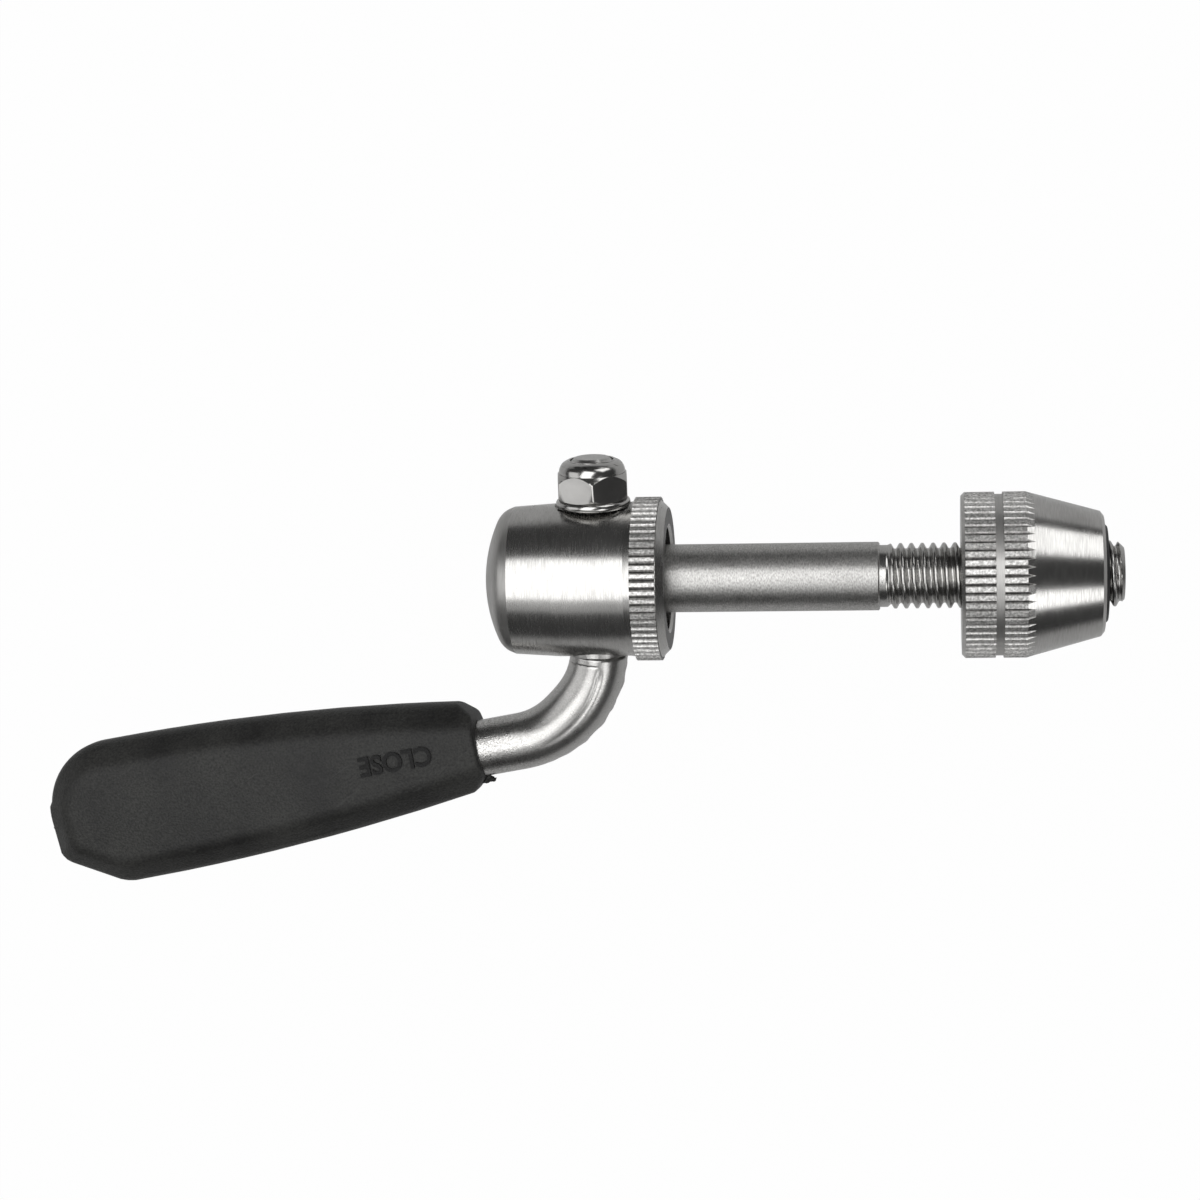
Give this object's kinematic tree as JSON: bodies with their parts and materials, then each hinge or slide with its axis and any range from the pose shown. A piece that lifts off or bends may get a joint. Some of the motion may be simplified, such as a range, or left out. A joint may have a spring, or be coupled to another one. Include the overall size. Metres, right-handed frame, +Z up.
{
  "type": "quick release seatpost clamp",
  "caption": "Quick release clamp skewer: a cam lever with a moulded grip, a cup barrel round the cam, a threaded shank and a knurled conical adjusting nut.",
  "frame": {"origin": "on the skewer's axis, in the plane of the barrel's clamp face", "axes": "+X along the skewer towards the adjusting nut, +Z up, as the clamp comes to rest on its two knurled rings and the grip, with the lock nut towards +Y"},
  "size_m": [0.1291, 0.0514, 0.0192],
  "materials": {
    "turned_steel": "turned and plated, fine circumferential brushing",
    "zinc_steel": "zinc plated, slightly grainy",
    "forged_zinc_steel": "forged, zinc plated, grainy",
    "bright_steel": "bright zinc plated",
    "grip_plastic": "moulded black plastic, fine grain",
    "pale_nylon": "natural nylon",
    "black_nylon": "black nylon"
  },
  "bodies": {
    "barrel": {"cam_barrel": "turned_steel"},
    "skewer": {"skewer": "zinc_steel"},
    "lever": {"lever_rod": "forged_zinc_steel", "lever_grip": "grip_plastic", "lock_washer": "bright_steel", "lock_nut": "bright_steel", "lock_nut_insert": "pale_nylon"},
    "nut_carrier": {"adjusting_nut_insert": "black_nylon"},
    "nut": {"adjusting_nut": "turned_steel"}
  },
  "joints": [
    {"name": "lever_pivot", "type": "hinge", "parent": "barrel", "child": "lever", "pos_m": [-0.00865, 0, 0], "axis": [0, 0.9846, 0.1747], "range_deg": [-90, 90]},
    {"name": "skewer_draw", "type": "slide", "parent": "barrel", "child": "skewer", "axis": [1, 0, 0], "range_m": [-0.00114, 0.00114]},
    {"name": "nut_travel", "type": "slide", "parent": "skewer", "child": "nut_carrier", "axis": [1, 0, 0], "range_m": [-0.0075, 0.02125]},
    {"name": "nut_spin", "type": "hinge", "parent": "nut_carrier", "child": "nut", "pos_m": [0.0338, 0, 0], "axis": [1, 0, 0], "range_deg": [-2160, 6120]}
  ],
  "couplings": [
    {"joint": "skewer_draw", "follows": "lever_pivot", "m_per_rad": 0.0007247},
    {"joint": "nut_travel", "follows": "nut_spin", "m_per_rad": 0.00019894}
  ]
}
